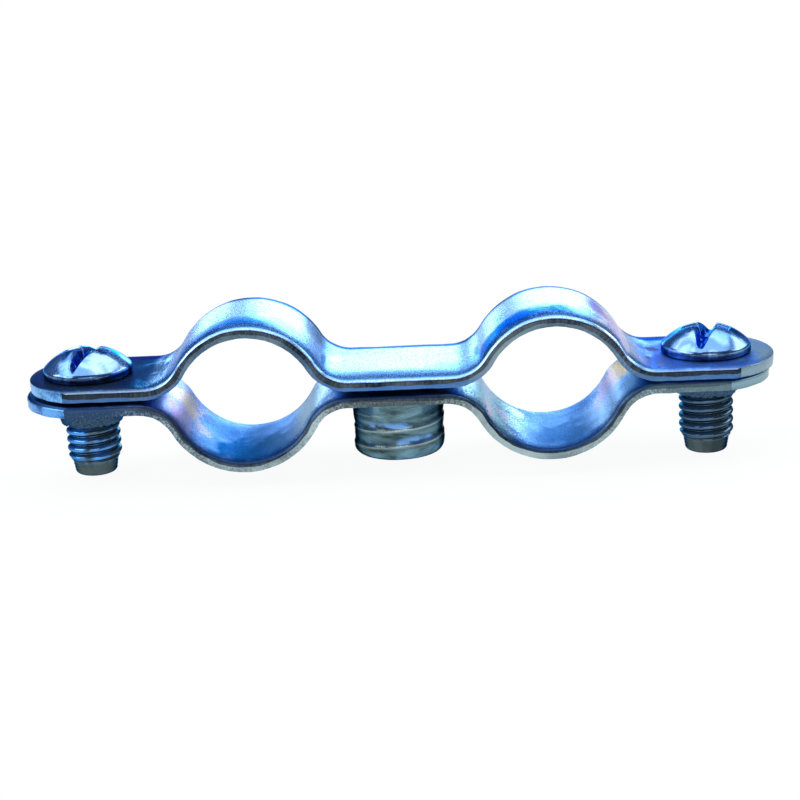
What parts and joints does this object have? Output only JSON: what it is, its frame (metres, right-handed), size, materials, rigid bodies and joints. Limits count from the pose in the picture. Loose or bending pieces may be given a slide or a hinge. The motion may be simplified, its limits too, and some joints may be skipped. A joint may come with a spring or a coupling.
{
  "type": "double pipe clip",
  "caption": "Double pipe clip: pressed zinc-plated straps, closed by a screw at each end, hold a pair of parallel pipes on a central threaded boss for a wall stud.",
  "frame": {"origin": "centre of the mouth of the threaded boss, where the wall stud enters", "axes": "+X along the clip from the left pipe to the right pipe, +Y along the pipes away from the viewer, +Z away from the wall, from the boss towards the screw heads"},
  "size_m": [0.067, 0.012, 0.0146],
  "materials": {
    "zinc_strap": "bright zinc plating with a blue passivation",
    "zinc_boss": "dull zinc plating over a rolled thread",
    "zinc_screw": "bright zinc plating with a blue passivation"
  },
  "bodies": {
    "lower_half": {"lower_strap": "zinc_strap", "threaded_boss": "zinc_boss"},
    "upper_half": {"upper_strap": "zinc_strap"},
    "left_screw": {"left_screw": "zinc_screw"},
    "right_screw": {"right_screw": "zinc_screw"}
  },
  "joints": [
    {"name": "strap_lift", "type": "slide", "parent": "lower_half", "child": "upper_half", "axis": [0, 0, 1], "range_m": [0, 0.0072]},
    {"name": "left_screw_turn", "type": "hinge", "parent": "upper_half", "child": "left_screw", "pos_m": [-0.02775, 0, 0.0081], "axis": [0, 0, 1], "range_deg": [0, 3240]},
    {"name": "right_screw_turn", "type": "hinge", "parent": "upper_half", "child": "right_screw", "pos_m": [0.02775, 0, 0.0081], "axis": [0, 0, 1], "range_deg": [0, 3240]}
  ],
  "couplings": [
    {"joint": "left_screw_turn", "follows": "strap_lift", "rad_per_m": 7854},
    {"joint": "right_screw_turn", "follows": "strap_lift", "rad_per_m": 7854}
  ]
}
